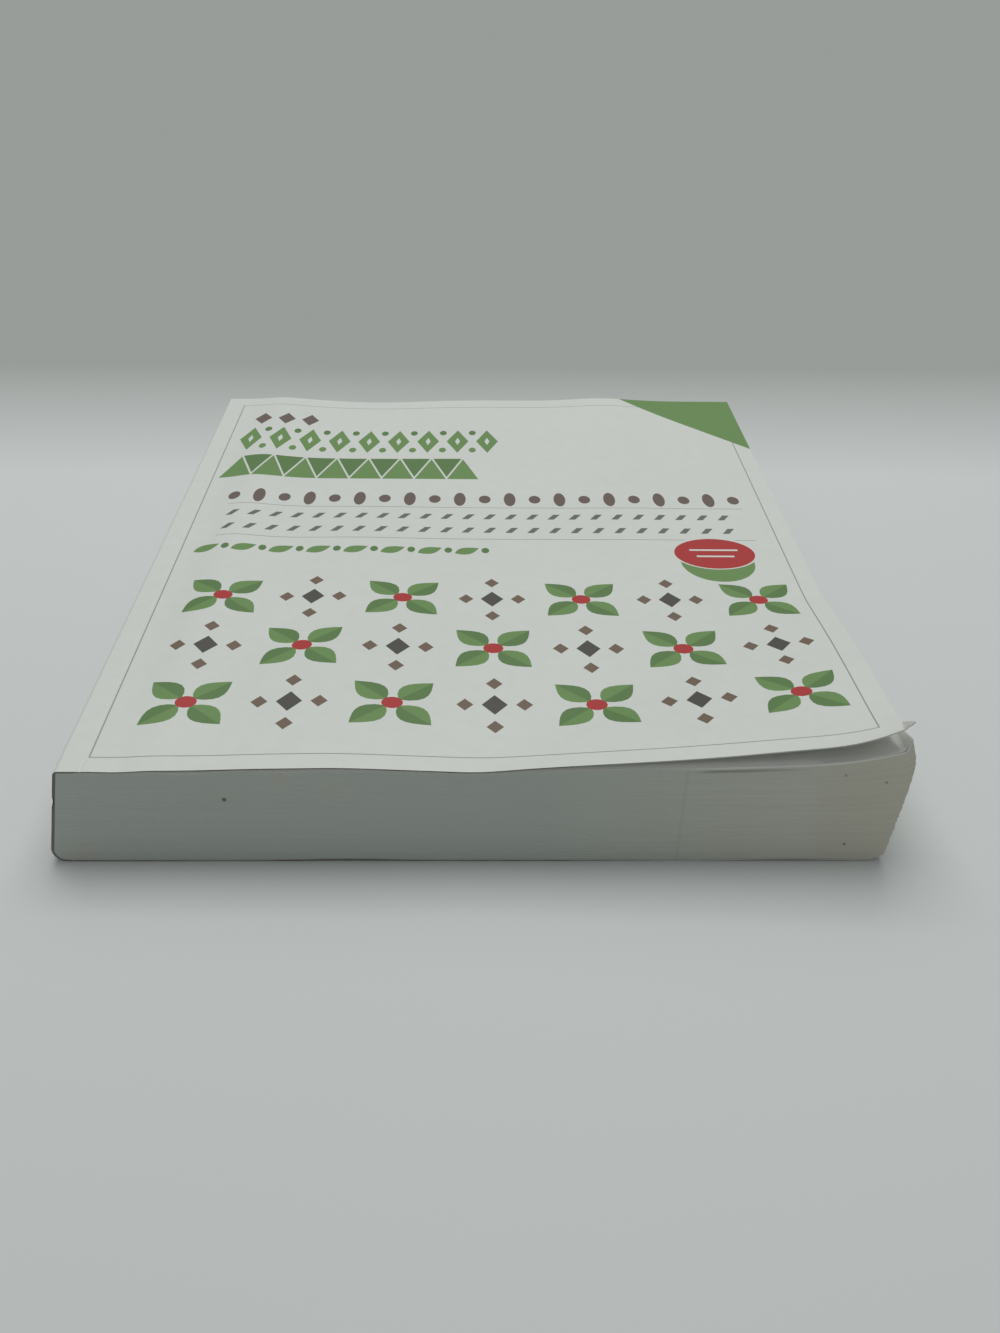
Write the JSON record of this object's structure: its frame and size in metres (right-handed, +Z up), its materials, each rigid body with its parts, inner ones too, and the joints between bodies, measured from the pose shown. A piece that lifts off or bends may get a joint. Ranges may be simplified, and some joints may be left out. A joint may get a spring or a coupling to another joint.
{
  "type": "paperback book",
  "caption": "Thick perfect-bound paperback book lying flat, with a wavy card cover whose front board and back board open on score lines beside the spine.",
  "frame": {"origin": "on the underside of the back board, in the middle of the trimmed leaf, on the surface the book lies on", "axes": "+X from the spine to the fore edge, +Y from the tail to the head, +Z up through the front board"},
  "size_m": [0.2173, 0.2794, 0.0403],
  "materials": {
    "leaves": "matte",
    "glue": "satin",
    "cover_card": "satin"
  },
  "bodies": {
    "book_block": {"page_block": "leaves", "binding_glue": "glue", "cover_spine": "cover_card"},
    "front_cover": {"front_board": "cover_card"},
    "back_cover": {"back_board": "cover_card"}
  },
  "joints": [
    {"name": "front_cover_hinge", "type": "hinge", "parent": "book_block", "child": "front_cover", "pos_m": [-0.09512, 0, 0.028], "axis": [0, -1, 0], "range_deg": [0, 180]},
    {"name": "back_cover_hinge", "type": "hinge", "parent": "book_block", "child": "back_cover", "pos_m": [-0.0996, 0, -0.00035], "axis": [0, 1, 0], "range_deg": [0, 180]}
  ]
}
